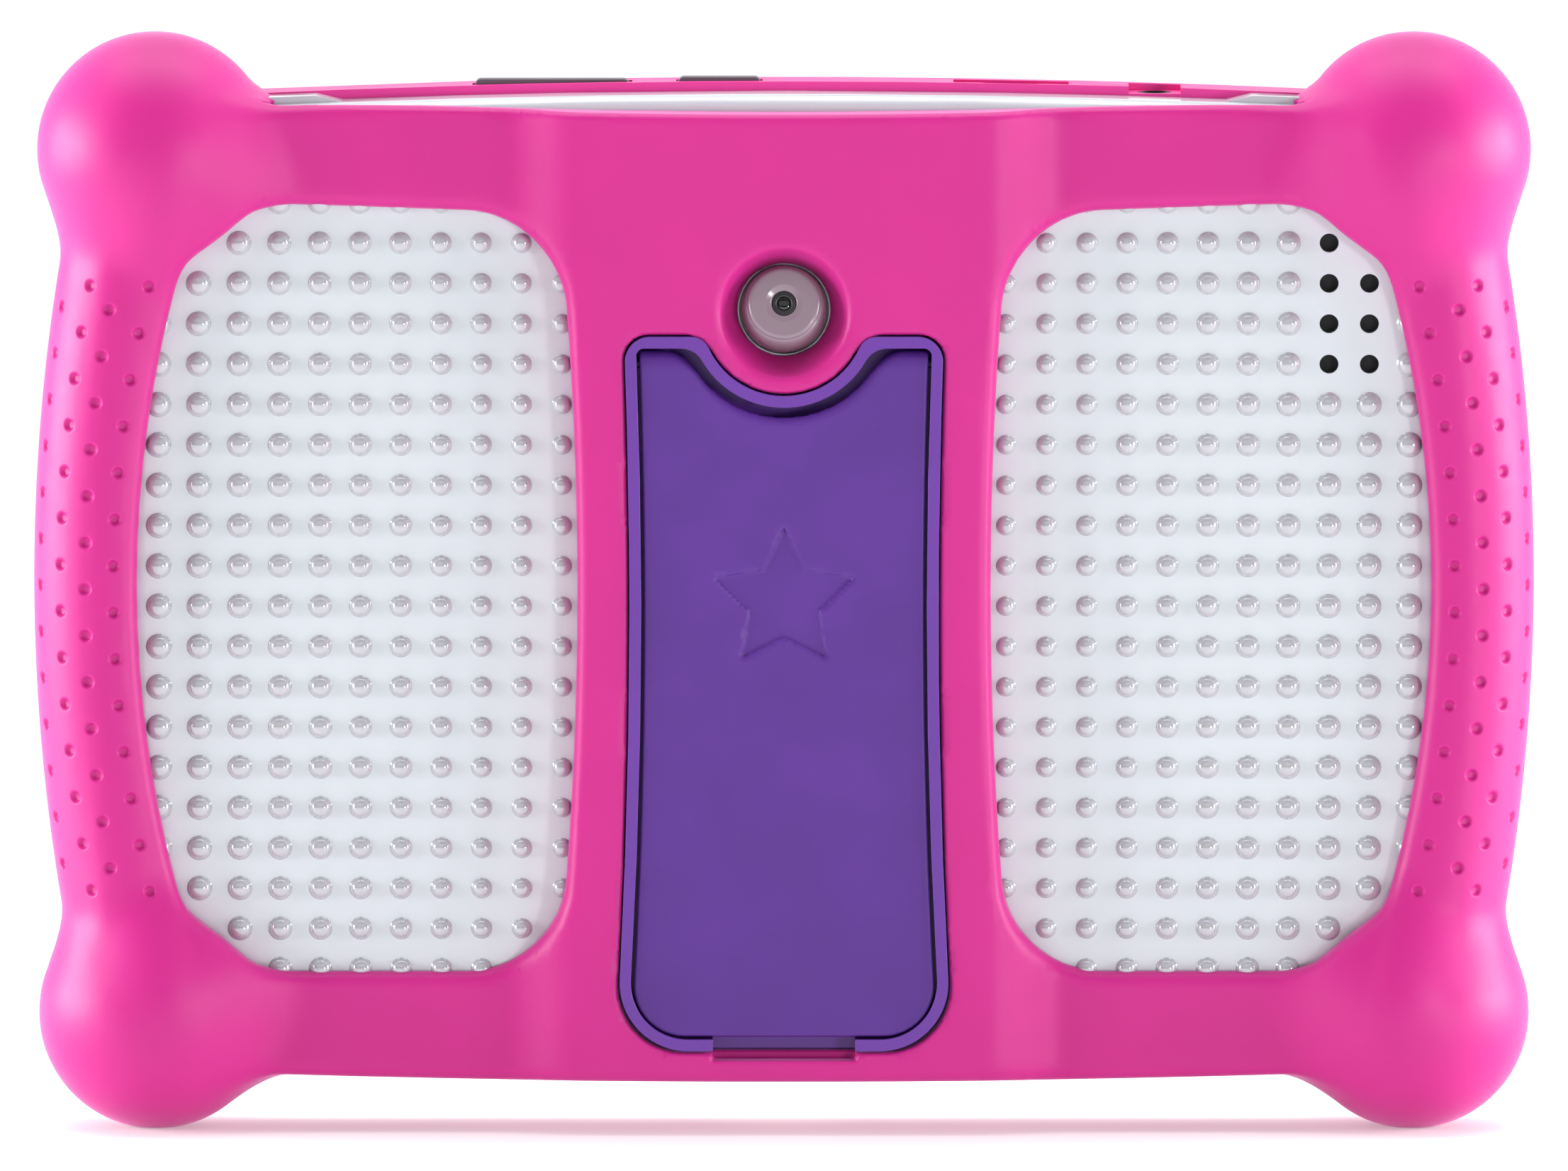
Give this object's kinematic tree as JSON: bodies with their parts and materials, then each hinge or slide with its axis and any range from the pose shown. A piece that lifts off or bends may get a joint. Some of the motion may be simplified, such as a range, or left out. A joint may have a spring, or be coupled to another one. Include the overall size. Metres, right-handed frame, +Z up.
{
  "type": "kids toy tablet",
  "caption": "Kids tablet in a soft bumper with ball corners, dimpled grips, windows over a domed back cover, fold-out stand, rear camera, edge keys and sockets.",
  "frame": {"origin": "floor point under the middle, standing upright on the two lower ball corners", "axes": "+X to the right seen from the back, +Y from the back towards the screen, +Z up"},
  "size_m": [0.23, 0.036, 0.1687],
  "materials": {
    "silicone_pink": "matte silicone",
    "stand_frame_purple": "fine satin",
    "stand_leg_purple": "fine spark texture",
    "steel": "plain",
    "cover_white": "polished",
    "barrel_white": "satin",
    "bezel_pink": "fine texture",
    "lens_glass": "polished",
    "screen_dark": "polished",
    "tray_white": "satin",
    "chassis_metal": "plain sheet",
    "ribbon_amber": "film",
    "board_green": "solder mask",
    "shield_tin": "tinned",
    "chip_black": "moulded",
    "battery_foil": "foil",
    "wire_red": "insulation",
    "part_black": "moulded",
    "foam_black": "foam",
    "mesh_black": "fine mesh",
    "camera_glass": "polished",
    "key_grey": "satin",
    "plunger_white": "moulded",
    "home_key": "polished"
  },
  "bodies": {
    "tablet": {"backlight_tray": "tray_white", "battery": "battery_foil", "battery_lead": "wire_red", "board_chips": "chip_black", "board_screws": "steel", "board_shields": "shield_tin", "bumper": "silicone_pink", "camera_barrel": "barrel_white", "case_screws": "steel", "chassis": "chassis_metal", "front_bezel": "bezel_pink", "front_camera": "part_black", "front_camera_window": "camera_glass", "headphone_jack": "part_black", "home_key_board": "board_green", "home_ribbon": "ribbon_amber", "home_switch": "part_black", "lcd_panel": "screen_dark", "lcd_ribbon": "ribbon_amber", "main_board": "board_green", "microphone": "shield_tin", "power_switch": "part_black", "rear_camera": "part_black", "rear_camera_lens": "camera_glass", "rear_cover": "cover_white", "speaker": "part_black", "speaker_gasket": "foam_black", "speaker_leads": "wire_red", "speaker_mesh": "mesh_black", "stand_frame": "stand_frame_purple", "stand_pins": "steel", "touch_lens": "lens_glass", "usb_port": "shield_tin", "volume_switches": "part_black", "wifi_antenna": "ribbon_amber"},
    "stand_leg_body": {"stand_leg": "stand_leg_purple"},
    "power_button_body": {"power_button": "key_grey", "power_plunger": "plunger_white"},
    "volume_rocker_body": {"volume_rocker": "key_grey", "volume_plungers": "plunger_white"},
    "home_button_body": {"home_button": "home_key", "home_plunger": "plunger_white"}
  },
  "joints": [
    {"name": "stand_hinge", "type": "hinge", "parent": "tablet", "child": "stand_leg_body", "pos_m": [0, -0.0122, 0.11893], "axis": [-1, 0, 0], "range_deg": [0, 40]},
    {"name": "power_press", "type": "slide", "parent": "tablet", "child": "power_button_body", "axis": [0, 0, -1], "range_m": [0, 0.0005], "stiffness_N_per_m": 1500},
    {"name": "volume_rock", "type": "hinge", "parent": "tablet", "child": "volume_rocker_body", "pos_m": [-0.0355, 0.0026, 0.15557], "axis": [0, 1, 0], "range_deg": [-2, 2], "stiffness_Nm_per_rad": 0.5},
    {"name": "home_press", "type": "slide", "parent": "tablet", "child": "home_button_body", "axis": [0, -1, 0], "range_m": [0, 0.0006], "stiffness_N_per_m": 1200}
  ]
}
